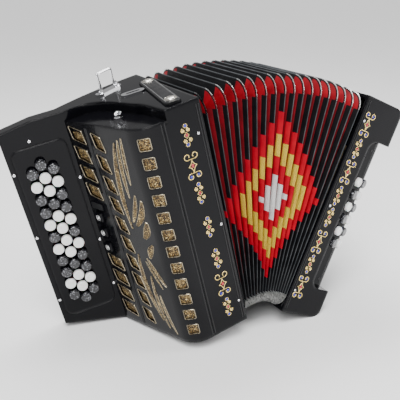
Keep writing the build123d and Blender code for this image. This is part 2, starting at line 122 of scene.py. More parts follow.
def fingerboard_point(along, height, proud):
    return FACE_ORIGIN + FACE_X * along + FACE_OUT * proud + Vector((0, 0, height))


def front_point(along, height, proud):
    return Vector((along, -proud, height))


def back_point(along, height, proud):
    return Vector((along, DEPTH + proud, height))


def top_point(along, back, proud):
    return Vector((along, back, HEIGHT + proud))


def board_point(along, height, proud):
    return BOARD_ORIGIN + BOARD_RUN * along + BOARD_OUT * proud + Vector((0, 0, height))


def cover_point(back, height, proud):
    return Vector((BASS_WIDTH + proud, back, height))


def lifted(place, lift):
    """The same surface, raised by lift."""
    return lambda along, height, proud: place(along, height, proud + lift)


# ---- Materials ----------------------------------------------------------------------------------------
def new_material(name, colour, roughness, metallic=0.0, coat=0.0, specular=0.5):
    """A principled material with its constants set on the shader; returns it with its node tools."""
    made = bpy.data.materials.new(name)
    made.use_nodes = True
    nodes, links = made.node_tree.nodes, made.node_tree.links
    shader = nodes["Principled BSDF"]
    shader.inputs["Base Color"].default_value = (*colour, 1)
    shader.inputs["Roughness"].default_value = roughness
    shader.inputs["Metallic"].default_value = metallic
    shader.inputs["Coat Weight"].default_value = coat
    shader.inputs["Coat Roughness"].default_value = 0.04
    shader.inputs["Specular IOR Level"].default_value = specular
    return made, nodes, links, shader


def texture(nodes, links, kind, scale, stretch=(1, 1, 1), **settings):
    """A noise, voronoi or wave texture over the piece's own coordinates, scale in features per metre."""
    place = nodes.new("ShaderNodeTexCoord")
    mapping = nodes.new("ShaderNodeMapping")
    mapping.inputs["Scale"].default_value = stretch
    links.new(place.outputs["Object"], mapping.inputs["Vector"])
    made = nodes.new("ShaderNodeTex" + kind)
    made.inputs["Scale"].default_value = scale
    for key, value in settings.items():
        made.inputs[key].default_value = value
    links.new(mapping.outputs["Vector"], made.inputs["Vector"])
    return made


def ramp(nodes, links, value, stops):
    """Colours or grey levels along a value."""
    made = nodes.new("ShaderNodeValToRGB")
    elements = made.color_ramp.elements
    while len(elements) < len(stops):
        elements.new(0.5)
    for element, (place, colour) in zip(elements, stops):
        element.position = place
        element.color = (*colour, 1)
    links.new(value, made.inputs["Fac"])
    return made.outputs["Color"]


def grey(level):
    return (level, level, level)


def roughness_detail(nodes, links, shader, scale, low, high, stretch=(1, 1, 1)):
    noise = texture(nodes, links, "Noise", scale, stretch, Detail=4.0)
    levels = ramp(nodes, links, noise.outputs["Fac"], [(0.35, grey(low)), (0.65, grey(high))])
    links.new(levels, shader.inputs["Roughness"])


def bump(nodes, links, shader, value, strength, distance):
    made = nodes.new("ShaderNodeBump")
    made.inputs["Strength"].default_value = strength
    made.inputs["Distance"].default_value = distance
    links.new(value, made.inputs["Height"])
    links.new(made.outputs["Normal"], shader.inputs["Normal"])
    return made


def lacquer(name, colour, low, high, coat, wave, specular=0.1, rounded_edges=True):
    """Polished celluloid or enamel: faint haze, and a long soft unevenness that bends reflections."""
    made, nodes, links, shader = new_material(name, colour, low, coat=coat, specular=specular)
    roughness_detail(nodes, links, shader, 45, low, high)
    noise = texture(nodes, links, "Noise", 22, Detail=1.5)
    relief = bump(nodes, links, shader, noise.outputs["Fac"], wave, 0.004)
    if rounded_edges:
        # Only the shading turns at the edges; the shape stays sharp.
        rounding = nodes.new("ShaderNodeBevel")
        rounding.samples = 6
        rounding.inputs["Radius"].default_value = 0.005
        links.new(rounding.outputs["Normal"], relief.inputs["Normal"])
    return made


def metal(name, colour, low, high, scale=260, stretch=(1, 1, 1)):
    """Plated or polished metal with fine wear in its polish."""
    made, nodes, links, shader = new_material(name, colour, low, metallic=1.0)
    roughness_detail(nodes, links, shader, scale, low, high, stretch)
    noise = texture(nodes, links, "Noise", scale * 3, stretch, Detail=3.0)
    bump(nodes, links, shader, noise.outputs["Fac"], 0.05, 0.0004)
    return made


def pearl(name):
    made, nodes, links, shader = new_material(name, (0.85, 0.85, 0.83), 0.16, coat=0.7)
    cloud = texture(nodes, links, "Noise", 420, Detail=3.0, Distortion=1.8)
    stops = [(0.35, (0.74, 0.73, 0.70)), (0.55, (0.90, 0.90, 0.89)), (0.7, (0.82, 0.83, 0.86))]
    links.new(ramp(nodes, links, cloud.outputs["Fac"], stops), shader.inputs["Base Color"])
    shader.inputs["Subsurface Weight"].default_value = 0.1
    shader.inputs["Subsurface Scale"].default_value = 0.001
    return made


def crystal(name):
    """Dark glassy button under a clear dome, with painted glints: bright flecks in its colour stand in for the
    silver highlights on its faceted dome.
    """
    made, nodes, links, shader = new_material(name, (0.05, 0.05, 0.055), 0.1, metallic=0.3, coat=0.7)
    glint_and_facet_cells = texture(nodes, links, "Voronoi", 430, Randomness=1.0)
    # Painted glints: small bright spots at the cells' middles stand in for highlights on the faceted dome.
    stops = [(0.12, (0.32, 0.33, 0.35)), (0.3, (0.05, 0.05, 0.06)), (0.55, (0.008, 0.008, 0.01))]
    links.new(ramp(nodes, links, glint_and_facet_cells.outputs["Distance"], stops), shader.inputs["Base Color"])
    bump(nodes, links, shader, glint_and_facet_cells.outputs["Distance"], 0.5, 0.0006)
    return made


def cloth(name, dark, light, weave=1500, roughness=0.75, sheen=0.3, relief=0.35):
    """Woven cloth: fine threads over a slow change of shade."""
    made, nodes, links, shader = new_material(name, light, roughness, specular=0.2)
    shader.inputs["Sheen Weight"].default_value = sheen
    shade = texture(nodes, links, "Noise", 60, Detail=5.0)
    colours = ramp(nodes, links, shade.outputs["Fac"], [(0.3, dark), (0.7, light)])
    links.new(colours, shader.inputs["Base Color"])
    threads = texture(nodes, links, "Voronoi", weave, Randomness=0.35)
    bump(nodes, links, shader, threads.outputs["Distance"], relief, 0.0005)
    return made


def thread_cloth_with_painted_glints(name, stops, grain, metallic, roughness):
    """Metal thread cloth with painted glints: its colour runs from dark gaps to bright spots that stand in for
    threads catching the light.
    """
    made, nodes, links, shader = new_material(name, stops[-1][1], roughness, metallic=metallic)
    threads = texture(nodes, links, "Noise", grain, Detail=2.0, Distortion=2.5)
    # Painted glints: the ramp's brightest colours stand in for light caught by the threads.
    links.new(ramp(nodes, links, threads.outputs["Fac"], stops), shader.inputs["Base Color"])
    bump(nodes, links, shader, threads.outputs["Fac"], 0.9, 0.0009)
    return made


def wood(name, dark, light):
    made, nodes, links, shader = new_material(name, light, 0.5)
    grain = texture(nodes, links, "Noise", 60, (6, 6, 0.5), Detail=6.0, Distortion=0.8)
    shades = ramp(nodes, links, grain.outputs["Fac"], [(0.3, dark), (0.7, light)])
    links.new(shades, shader.inputs["Base Color"])
    bump(nodes, links, shader, grain.outputs["Fac"], 0.2, 0.0006)
    return made


def leather(name):
    made, nodes, links, shader = new_material(name, (0.006, 0.006, 0.007), 0.42, coat=0.05, specular=0.3)
    roughness_detail(nodes, links, shader, 90, 0.34, 0.52)
    grain = texture(nodes, links, "Voronoi", 850, Randomness=1.0)
    bump(nodes, links, shader, grain.outputs["Distance"], 0.45, 0.0005)
    return made


def gem(name, colour):
    made, nodes, links, shader = new_material(name, colour, 0.05, coat=1.0)
    facet_shade_cells = texture(nodes, links, "Voronoi", 900, Randomness=1.0)
    dark = tuple(level * 0.35 for level in colour)
    # Painted facet shading: each small cell keeps the stone's colour at its middle and darkens to about a third at
    # its edges, standing in for light and shade on a cut stone's faces.
    shades = ramp(nodes, links, facet_shade_cells.outputs["Distance"], [(0.2, colour), (0.6, dark)])
    links.new(shades, shader.inputs["Base Color"])
    return made


# Colours of the metal thread cloths, from the gaps to the brightest stop, a painted glint where a thread would
# catch the light.
GOLD_THREADS_AND_GLINTS = [(0.3, (0.34, 0.22, 0.01)), (0.5, (0.72, 0.52, 0.03)), (0.68, (0.95, 0.80, 0.16))]
WHITE_THREADS_AND_GLINTS = [(0.3, (0.50, 0.50, 0.50)), (0.5, (0.80, 0.80, 0.79)), (0.7, (0.97, 0.97, 0.95))]
BROCADE_THREADS_AND_GLINTS = [
    (0.44, (0.012, 0.007, 0.003)), (0.53, (0.06, 0.03, 0.01)), (0.6, (0.38, 0.23, 0.06)), (0.68, (0.95, 0.78, 0.4)),
]

LOOK = {
    "celluloid": lacquer("black_celluloid", (0.002, 0.002, 0.003), 0.06, 0.13, 0.14, 0.05),
    "board": lacquer("board_black", (0.002, 0.002, 0.003), 0.16, 0.26, 0.0, 0.05, 0.02),
    "enamel": lacquer("black_enamel", (0.003, 0.003, 0.004), 0.1, 0.2, 0.14, 0.07),
    "satin": lacquer("satin_black", (0.008, 0.008, 0.009), 0.3, 0.42, 0.05, 0.04, 0.3, False),
    "pearl": pearl("pearl_white"),
    "crystal": crystal("crystal_black"),
    "chrome": metal("polished_chrome", (0.82, 0.82, 0.84), 0.05, 0.14),
    "nickel": metal("worn_nickel", (0.72, 0.69, 0.62), 0.2, 0.36),
    "silver": metal("bright_silver_edge", (0.93, 0.93, 0.92), 0.22, 0.38),
    "steel": metal("drawn_steel", (0.56, 0.56, 0.57), 0.28, 0.4, 220, (1, 1, 0.1)),
    "aluminium": metal("key_aluminium", (0.7, 0.7, 0.7), 0.3, 0.45),
    "bezel": metal("cream_silver_bezel", (0.5, 0.44, 0.32), 0.2, 0.36),
    "gold": metal("scroll_gold", (0.86, 0.66, 0.26), 0.18, 0.34),
    "felt": cloth("pallet_felt", (0.22, 0.03, 0.03), (0.35, 0.05, 0.05), 900, 0.95, 0.6),
    "fold_black": cloth("bellows_black_cloth", (0.002, 0.002, 0.003), (0.006, 0.006, 0.007), 1400, 0.5, 0.0),
    # Painted highlight: a grey line along each bellows peak stands in for the shine on the black binding.
    "fold_peak_highlight": cloth("bellows_painted_peak_highlight", (0.045, 0.05, 0.055), (0.10, 0.105, 0.11), 1400, 0.3, 0.0, 0.2),
    "fold_red": cloth("bellows_inner_red", (0.14, 0.003, 0.008), (0.26, 0.006, 0.014), 1400, 0.7, 0.0),
    "gusset_red": cloth("bellows_corner_red", (0.15, 0.002, 0.006), (0.30, 0.004, 0.012), 1200, 0.5, 0.0),
    "tape_red": cloth("diamond_red", (0.34, 0.002, 0.014), (0.48, 0.004, 0.02), 1600, 0.42, 0.0),
    "tape_gold": thread_cloth_with_painted_glints("diamond_gold", GOLD_THREADS_AND_GLINTS, 1500, 0.3, 0.4),
    "tape_white": thread_cloth_with_painted_glints("diamond_white", WHITE_THREADS_AND_GLINTS, 1500, 0.2, 0.4),
    "brocade": thread_cloth_with_painted_glints("gold_brocade", BROCADE_THREADS_AND_GLINTS, 380, 0.4, 0.3),
    "maple": wood("reed_block_maple", (0.42, 0.27, 0.14), (0.66, 0.48, 0.29)),
    "spruce": wood("pallet_board_spruce", (0.55, 0.40, 0.23), (0.74, 0.58, 0.37)),
    "leather": leather("black_leather"),
    "thread": cloth("grey_thread", (0.16, 0.16, 0.16), (0.3, 0.3, 0.3), 2500, 0.7, 0.2),
    "ruby": gem("red_stone", (0.75, 0.01, 0.03)),
    "sapphire": gem("blue_stone", (0.02, 0.03, 0.62)),
}


def paint(node, *looks):
    """Give a CAD node its materials."""
    slots = frame["nodes"][node].data.materials
    slots.clear()
    for look in looks:
        slots.append(LOOK[look])


# ---- Mesh tools -----------------------------------------------------------------------------------------
def build(name, stand, points, faces, looks, body, face_looks=None, crease=38):
    """A mesh piece from points in an end's own millimetres; face_looks gives each face its look's number."""
    mesh = bpy.data.meshes.new(name)
    mesh.from_pydata([stand @ Vector(point) for point in points], [], faces)
    for look in looks:
        mesh.materials.append(LOOK[look])
    if face_looks:
        mesh.polygons.foreach_set("material_index", face_looks)
    shape = bmesh.new()
    shape.from_mesh(mesh)
    bmesh.ops.recalc_face_normals(shape, faces=shape.faces)
    shape.to_mesh(mesh)
    shape.free()
    mesh.shade_smooth()
    mesh.set_sharp_from_angle(angle=radians(crease))
    made = bpy.data.objects.new(name, mesh)
    bpy.context.scene.collection.objects.link(made)
    if body:
        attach(made, body)
    return made


# A dome's rings from its foot up, and how much of the quarter turn they cover before the flat cap.
DOME_STEPS = 5
DOME_CLOSED = 0.94


class Pile:
    """Points and faces of many small shapes that make one piece."""

    def __init__(self):
        self.points = []
        self.faces = []

    def add(self, points, faces):
        base = len(self.points)
        self.points += points
        self.faces += [tuple(base + corner for corner in face) for face in faces]

    def rings(self, rings, closed_run=False, caps=True):
        """Skin a row of closed rings; capped at both ends, or joined last to first."""
        size, count = len(rings[0]), len(rings)
        faces = []
        for i in range(count if closed_run else count - 1):
            for j in range(size):
                across = (i + 1) % count
                beside = (j + 1) % size
                faces.append((i * size + j, i * size + beside, across * size + beside, across * size + j))
        if caps and not closed_run:
            faces.append(tuple(range(size)))
            faces.append(tuple((count - 1) * size + j for j in range(size)))
        self.add([point for ring in rings for point in ring], faces)

    def tube(self, path, radius, sides=8, closed_run=False):
        """A wire along points; radius is one number or one for each point."""
        radii = radius if isinstance(radius, (list, tuple)) else [radius] * len(path)
        rings = []
        side = None
        for i, point in enumerate(path):
            before = path[i - 1] if (i or closed_run) else path[i]
            after = path[(i + 1) % len(path)] if (i + 1 < len(path) or closed_run) else path[i]
            run = (after - before).normalized()
            if side is None:
                side = run.orthogonal()
            side = (side - run * side.dot(run)).normalized()
            up = run.cross(side)
            turns = [tau * k / sides for k in range(sides)]
            rings.append([point + (side * cos(turn) + up * sin(turn)) * radii[i] for turn in turns])
        self.rings(rings, closed_run)

    def dome(self, place, along, height, wide, tall, proud, segments=16, foot=-0.3):
        """A round-topped stone or head on a surface; place maps (along, height, proud) to a point."""
        rings = []
        for step in range(DOME_STEPS + 1):
            rise = step / DOME_STEPS * pi / 2 * DOME_CLOSED
            spread, level = (1.0, foot) if step == 0 else (cos(rise), proud * sin(rise))
            ring = []
            for k in range(segments):
                turn = tau * k / segments
                ring.append(place(along + wide * spread * cos(turn), height + tall * spread * sin(turn), level))
            rings.append(ring)
        self.rings(rings)

    def bezel(self, place, outline, width, proud):
        """A rounded rim around an outline; the outline runs round its own middle."""
        middle = Vector((sum(p[0] for p in outline), sum(p[1] for p in outline))) / len(outline)
        grown = []
        for i, point in enumerate(outline):
            before, after = Vector(outline[i - 1]), Vector(outline[(i + 1) % len(outline)])
            run = (after - before).normalized()
            out = Vector((run.y, -run.x))
            if out.dot(Vector(point) - middle) < 0:
                out.negate()
            grown.append(out)
        section = ((0.0, -0.4), (0.0, proud * 0.7), (width * 0.5, proud), (width, proud * 0.5), (width, -0.4))
        rings = []
        for spread, level in section:
            ring = [place(p[0] + out.x * spread, p[1] + out.y * spread, level) for p, out in zip(outline, grown)]
            rings.append(ring)
        self.rings(rings, closed_run=True)

    def plate(self, place, outline, low, high):
        """A thin plate with an outline of its own between two levels."""
        self.rings([[place(x, y, low) for x, y in outline], [place(x, y, high) for x, y in outline]])


def piece(name, stand, pile, look, body, crease=38):
    return build(name, stand, pile.points, pile.faces, [look], body, crease=crease)


def rounded(outline, radius, steps=3):
    """A polygon with its corners rounded."""
    done = []
    count = len(outline)
    for i in range(count):
        corner = Vector(outline[i])
        before, after = Vector(outline[i - 1]) - corner, Vector(outline[(i + 1) % count]) - corner
        cut = min(radius, before.length * 0.45, after.length * 0.45)
        start, end = corner + before.normalized() * cut, corner + after.normalized() * cut
        for step in range(steps + 1):
            t = step / steps
            done.append(tuple(start * (1 - t) ** 2 + corner * 2 * t * (1 - t) + end * t * t))
    return done


def oval(along, height, wide, tall, count=20):
    return [(along + wide * cos(tau * k / count), height + tall * sin(tau * k / count)) for k in range(count)]


# ---- CAD nodes that keep their shape -----------------------------------------------------------------
for node, look in {
    "treble_casing": "celluloid", "fingerboard_plate": "celluloid", "treble_grille": "enamel",
    "treble_pallet_board": "spruce", "key_axle": "steel", "treble_reed_blocks": "maple",
    "strap_bracket": "chrome", "strap_loop": "chrome", "slot_plate": "chrome",
    "bass_casing": "celluloid", "bass_button_board": "board", "bass_end_cover": "celluloid",
    "bass_reed_blocks": "maple", "air_button": "chrome",
    "register_switch_1": "celluloid", "register_switch_2": "celluloid", "register_switch_3": "celluloid",
}.items():
    paint(node, look)


def paint_parts(node, stand, origin, out, looks, look_of):
    """Paint a node's faces by how far out of a face they lie and how far along it."""
    paint(node, *looks)
    to_end = stand.inverted()
    mesh = frame["nodes"][node].data
    for face in mesh.polygons:
        place = to_end @ face.center
        face.material_index = look_of(place, (place - origin).dot(out))


# Black and white buttons of the three treble rows, from below to above.
KEY_SHADES = ("bwbbwbwbbwb", "bwwbwwwwbwwb", "bwbbwbwbbwb")
CAP_FOOT = 3.5
PALLET_FELT_LINE = -56.6
CAP, LEVER, FELT = 0, 1, 2
for number, shade in enumerate("".join(KEY_SHADES), 1):
    cap = "pearl" if shade == "w" else "crystal"
    paint_parts(
        f"treble_key_{number:02d}", TREBLE, FACE_ORIGIN, FACE_OUT, (cap, "aluminium", "felt"),
        lambda place, proud: CAP if proud > CAP_FOOT else (FELT if place.x > PALLET_FELT_LINE else LEVER),
    )

BASS_CAP_FOOT = 3.3
BETWEEN_BASS_COLUMNS = 19.5
WHITE_CAP, BLACK_CAP, STEM = 0, 1, 2


def bass_button_look(place, proud, inner_white):
    """A pair's two caps differ, and the pairs take turns in which of the two is white."""
    if proud < BASS_CAP_FOOT:
        return STEM
    inner = (place - BOARD_ORIGIN).dot(BOARD_RUN) < BETWEEN_BASS_COLUMNS
    return WHITE_CAP if inner == inner_white else BLACK_CAP


for row in range(6):
    paint_parts(
        f"bass_buttons_{row + 1}", BASS, BOARD_ORIGIN, BOARD_OUT, ("pearl", "crystal", "aluminium"),
        lambda place, proud: bass_button_look(place, proud, row % 2 == 0),
    )


# ---- Bellows --------------------------------------------------------------------------------------------
# Half a fold from valley to peak: share of the fold and depth below the peak's line.
FLANK = ((0.0, 20.0), (0.05, 19.0), (0.16, 14.0), (0.31, 8.0), (0.36, 6.0), (0.43, 3.0), (0.47, 1.3), (0.49, 0.5))
FOLD_PROFILE = FLANK + ((0.5, 0.2),) + tuple((1 - share, depth) for share, depth in reversed(FLANK[1:]))
CORNER_STEPS = 8
WALL_STEPS = 6
# The first and last valley stay this share of the fan away from the casings.
END_GAP = 0.0015
BELLOWS_LOOKS = ("fold_black", "fold_peak_highlight", "fold_red", "gusset_red", "silver")
BLACK, PEAK_HIGHLIGHT, RED, GUSSET, METAL = range(5)
# Where the looks change, as shares of a fold from its peak.
HIGH_METAL, LOW_METAL, PEAK_HIGHLIGHT_REACH, GUSSET_FROM, RED_FROM = 0.035, 0.17, 0.025, 0.1, 0.2


def bellows_ring(depth):
    """The fold's outline at a depth below its peak: (y, z) points from the lower front corner round."""
    low, front = FOLD_MARGIN, FOLD_MARGIN
    high, back = HEIGHT - FOLD_MARGIN, DEPTH - FOLD_MARGIN
    radius = FOLD_CORNER - depth
    ring = []
    corners = (
        (front + FOLD_CORNER, low + FOLD_CORNER, 180, "low"), (back - FOLD_CORNER, low + FOLD_CORNER, 270, "low"),
        (back - FOLD_CORNER, high - FOLD_CORNER, 0, "high"), (front + FOLD_CORNER, high - FOLD_CORNER, 90, "high"),
    )
    walls = ("floor", "back", "top", "front")
    for index, (y, z, start, kind) in enumerate(corners):
        arc = []
        for step in range(CORNER_STEPS + 1):
            angle = radians(start + 90 * step / CORNER_STEPS)
            arc.append((y + radius * cos(angle), z + radius * sin(angle)))
        following = corners[(index + 1) % 4]
        first = radians(following[2])
        target = (following[0] + radius * cos(first), following[1] + radius * sin(first))
        ring += [(point, kind) for point in arc[:-1]]
        for step in range(WALL_STEPS):
            share = step / WALL_STEPS
            point = tuple(a + (b - a) * share for a, b in zip(arc[-1], target))
            ring.append((point, walls[index]))
    return ring


def bellows_zone(kind, share):
    """The look of a face by its side of the bellows and its place across the fold."""
    from_peak = abs(share - 0.5)
    if kind == "high":
        return METAL if from_peak < HIGH_METAL else (GUSSET if from_peak > GUSSET_FROM else BLACK)
    if kind == "low":
        return METAL if from_peak < LOW_METAL else BLACK
    # Painted highlight: the thin grey line along every peak stands in for the shine on the black binding.
    if from_peak < PEAK_HIGHLIGHT_REACH:
        return PEAK_HIGHLIGHT
    if kind in ("front", "back") and from_peak > RED_FROM:
        return RED
    return BLACK


def skin_bellows():
    """The folds as one closed mesh: points, faces, each face's look and each point's share of the fan."""
    points, faces, zones, shares = [], [], [], []
    rows = []
    for fold in range(FOLDS):
        last = fold == FOLDS - 1
        for share, depth in FOLD_PROFILE[: None if last else -1]:
            rows.append(((fold + share) / FOLDS, share, depth))
    size = len(bellows_ring(0))
    kinds = [kind for _, kind in bellows_ring(0)]
    for whole, _, depth in rows:
        stand = fold_matrix(min(max(whole, END_GAP), 1 - END_GAP))
        points += [stand @ Vector((0, y, z)) for (y, z), _ in bellows_ring(depth)]
        shares += [whole] * size
    for i in range(len(rows) - 1):
        # The row after a fold's last one is the next fold's valley, whose share of 0 is this fold's 1.
        middle = (rows[i][1] + (rows[i + 1][1] or 1.0)) / 2
        for j in range(size):
            beside = (j + 1) % size
            faces.append((i * size + j, i * size + beside, (i + 1) * size + beside, (i + 1) * size + j))
            zones.append(bellows_zone(kinds[j], middle))
    for first in (0, (len(rows) - 1) * size):
        faces.append(tuple(first + j for j in range(size)))
        zones.append(BLACK)
    return points, faces, zones, shares


def bend_with_folds(made):
    """Bakes the piece's placement into its points; each section was already turned by its share of the fan when its
    points were placed.
    """
    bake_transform(made)


ROW_FRAME = Matrix.Identity(4)
points, faces, zones, shares = skin_bellows()
bellows_skin = build("bellows_folds", ROW_FRAME, points, faces, BELLOWS_LOOKS, None, zones, crease=50)
bend_with_folds(bellows_skin)
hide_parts("bellows")


DIAMOND_LOOKS = ("tape_red", "tape_gold", "tape_white")
DIAMOND_RED, DIAMOND_GOLD, DIAMOND_WHITE = range(3)
DIAMOND_HALF_LENGTHS = (110, 82, 54, 30)
DIAMOND_STEP = 13.2


def diamond_bands(steps):
    """Coloured lengths of one peak's tape, from below to above: (from, to, look) about the middle."""
    red, gold_out, gold_in, white = (half - DIAMOND_STEP * steps for half in DIAMOND_HALF_LENGTHS)
    marks = [(red, DIAMOND_RED)]
    if gold_out > 4:
        marks += [(gold_out, DIAMOND_GOLD), (gold_in if gold_in > 3 else 0, DIAMOND_RED)]
    if white > 2:
        marks.append((white, DIAMOND_WHITE))
    upper = []
    for index, (start, look) in enumerate(marks):
        end = marks[index + 1][0] if index + 1 < len(marks) else 0
        if start > end:
            upper.append((end, start, look))
    lower = [(-end, -start, look) for start, end, look in upper]
    return lower + upper[::-1]


DIAMOND_MIDDLE = 155
DIAMOND_CENTRE_FOLD = 8
DIAMOND_REACH = 8
TAPE_PROFILE = tuple((share, depth) for share, depth in FOLD_PROFILE if abs(share - 0.5) < 0.2)
TAPE_PROUD = 0.75
TAPE_SUNK = -0.15


def skin_diamond():
    """Tapes over the fronts of the peaks, one closed strip for each peak."""
    points, faces, zones, shares = [], [], [], []
    across = len(TAPE_PROFILE)
    for fold in range(DIAMOND_CENTRE_FOLD - DIAMOND_REACH, DIAMOND_CENTRE_FOLD + DIAMOND_REACH + 1):
        bands = diamond_bands(abs(fold - DIAMOND_CENTRE_FOLD))
        levels = [bands[0][0]] + [band[1] for band in bands]
        base = len(points)
        for level in levels:
            for lift in (TAPE_PROUD, TAPE_SUNK):
                for share, depth in TAPE_PROFILE:
                    whole = (fold + share) / FOLDS
                    spot = Vector((0, FOLD_MARGIN + depth - lift, DIAMOND_MIDDLE + level))
                    points.append(fold_matrix(whole) @ spot)
                    shares.append(whole)
        loop = list(range(across)) + [across + k for k in reversed(range(across))]
        for row, (_, _, look) in enumerate(bands):
            for k, corner in enumerate(loop):
                beside = loop[(k + 1) % len(loop)]
                low, high = base + row * 2 * across, base + (row + 1) * 2 * across
                faces.append((low + corner, low + beside, high + beside, high + corner))
                zones.append(look)
        for row, look in ((0, bands[0][2]), (len(bands), bands[-1][2])):
            start = base + row * 2 * across
            for k in range(across - 1):
                faces.append((start + k, start + k + 1, start + across + k + 1, start + across + k))
                zones.append(look)
    return points, faces, zones, shares


points, faces, zones, shares = skin_diamond()
diamond = build("bellows_diamond_tapes", ROW_FRAME, points, faces, DIAMOND_LOOKS, None, zones, crease=50)
bend_with_folds(diamond)


# ---- Grille: cloth, rims and swept inlays ----------------------------------------------------------------
def slanted(along, height, wide, tall):
    """The leaning four-sided outline of one sound opening."""
    slant = 11 * tall / 19  # the sides lean 11 mm over the tall openings' 19 mm
    drop = 2.5
    return [
        (along - wide / 2, height + tall / 2 + drop), (along + wide / 2 - slant / 3, height + tall / 2 - drop),
        (along + wide / 2, height - tall / 2 - drop), (along - wide / 2 + slant / 3, height - tall / 2 + drop),
    ]


near_openings = [slanted(18, height, 26, 17) for height in (281, 255, 229, 204, 98, 73, 48, 23)]
far_openings = [slanted(55, 23 + 28 * step, 19, 19) for step in range(10)]
half = 14 / 2
corner_openings = [
    [(-half, z - half), (half, z - half), (half, z + half), (-half, z + half)]
    for z in (21 + 23.4 * step for step in range(12))
]

OPENING_ROUND, RIM_WIDTH, RIM_PROUD = 1.6, 0.65, 0.6
rims = Pile()
for place, outlines in ((panel_point, near_openings + far_openings), (corner_point, corner_openings)):
    for outline in outlines:
        rims.bezel(place, rounded(outline, OPENING_ROUND), RIM_WIDTH, RIM_PROUD)

# One sheet of brocade: behind the side, and just inside the corner's openings, where the casing is close.
GRILLE_THICKNESS = 2.5
cloth_back = -GRILLE_THICKNESS - 0.3
corner_back = -GRILLE_THICKNESS + 0.3
plan = [panel_point(2 + 106 * step / 8, 0, cloth_back) for step in range(9)]
plan += [corner_point(-14 + 23 * step / 6, 0, corner_back) for step in range(1, 7)]
inner_plan = [point + Vector((0.5, 0.4, 0)) for point in plan]
outline = plan + inner_plan[::-1]
sheet = Pile()
sheet.rings([[point + Vector((0, 0, z)) for point in outline] for z in (8, 100, 200, 292)])
grille_cloth = piece("grille_brocade", TREBLE, sheet, "brocade", "treble_end")


def leaf(start, end, wide, bow, steps=9, blunt=0.0):
    """A leaf outline from start to end, bowed to one side and widest past its middle."""
    start, end = Vector(start), Vector(end)
    run = end - start
    side = Vector((run.y, -run.x)).normalized()
    left, right = [], []
    for step in range(steps + 1):
        t = step / steps
        spine = start + run * t + side * bow * 4 * t * (1 - t)
        half = wide / 2 * max(sin(pi * (0.04 + 0.92 * t)) ** 0.7, blunt)
        left.append(tuple(spine + side * half))
        right.append(tuple(spine - side * half))
    return left + right[::-1]


# The leaves: above the switches, below them, and the small ones between.
SWEPT = (
    leaf((85, 279), (74, 162), 7.5, 7), leaf((92, 283), (85, 207), 5.5, 3), leaf((99, 286), (94, 226), 4.5, 1.5),
    leaf((70, 124), (84, 24), 7.5, 8), leaf((83, 94), (93, 13), 5.5, 5), leaf((90, 66), (104, 8), 4.5, 3),
    leaf((96, 212), (79, 172), 6, -1.5), leaf((105, 206), (84, 168), 9, -4, blunt=0.35),
    leaf((104, 176), (92, 152), 11, -2, blunt=0.45), leaf((103, 144), (92, 123), 9, 1.5, blunt=0.3),
    leaf((85, 121), (108, 84), 6, 1), leaf((81, 116), (100, 79), 3, 1),
)
inlays = Pile()
for outline in SWEPT:
    inlays.plate(panel_point, outline, -0.5, 0.25)
    rims.bezel(panel_point, outline, 0.35, 0.5)
piece("grille_swept_inlays", TREBLE, inlays, "brocade", "treble_end")
piece("grille_rims", TREBLE, rims, "bezel", "treble_end", crease=60)

# Raised beads beside the near openings, and on both sides of the front's seam.
ridges = Pile()
for along in (36.6, 39.4):
    ridges.tube([panel_point(along, 4 + 288 * step / 12, 0.1) for step in range(13)], 0.9)
for along in (-FRONT_WIDTH - 2.6, -FRONT_WIDTH + 1.6):
    ridges.tube([front_point(along, 4 + 292 * step / 12, 0.0) for step in range(13)], 0.8)
piece("grille_beads", TREBLE, ridges, "satin", "treble_end")

slot_lip = Pile()
slot_lip.plate(panel_point, rounded([(4, 178.5), (25, 177.5), (25, 186), (4, 187)], 2), -0.4, 0.9)
piece("switch_hood", TREBLE, slot_lip, "satin", "treble_end")

for number, height in enumerate(SWITCH_HEIGHTS, 1):
    badge = Pile()
    on_switch = lifted(panel_point, 4.05)
    badge.bezel(on_switch, oval(14, height, 2.6, 3.4), 0.7, 0.5)
    badge.dome(on_switch, 14, height, 1.4, 2.0, 0.5)
    piece(f"register_badge_{number}", TREBLE, badge, "silver", f"register_{number}")

screws = Pile()
for along, height in ((-4, 286), (-34.5, 250), (-34.5, 160), (-34.5, 62), (41, 222), (41, 130), (41, 60)):
    screws.dome(fingerboard_point, along, height, 2.1, 2.1, 0.9)
piece("fingerboard_screws", TREBLE, screws, "chrome", "treble_end")


# ---- Scrollwork -----------------------------------------------------------------------------------------
def curl(centre, radius, start, turn, steps=14):
    """A scroll's curl: an arc that tightens, from start through turn degrees."""
    points = []
    for step in range(steps + 1):
        t = step / steps
        angle = radians(start + turn * t)
        reach = radius * (1 - 0.45 * t)
        points.append((centre[0] + reach * cos(angle), centre[1] + reach * sin(angle)))
    return points


def bowed_side(start, end, pull, steps=5):
    """One hollow side of the scroll's diamond, without its last point."""
    start, end = Vector(start), Vector(end)
    middle = (start + end) / 2 * pull
    places = [k / steps for k in range(steps)]
    return [tuple(start * (1 - t) ** 2 + middle * 2 * t * (1 - t) + end * t * t) for t in places]


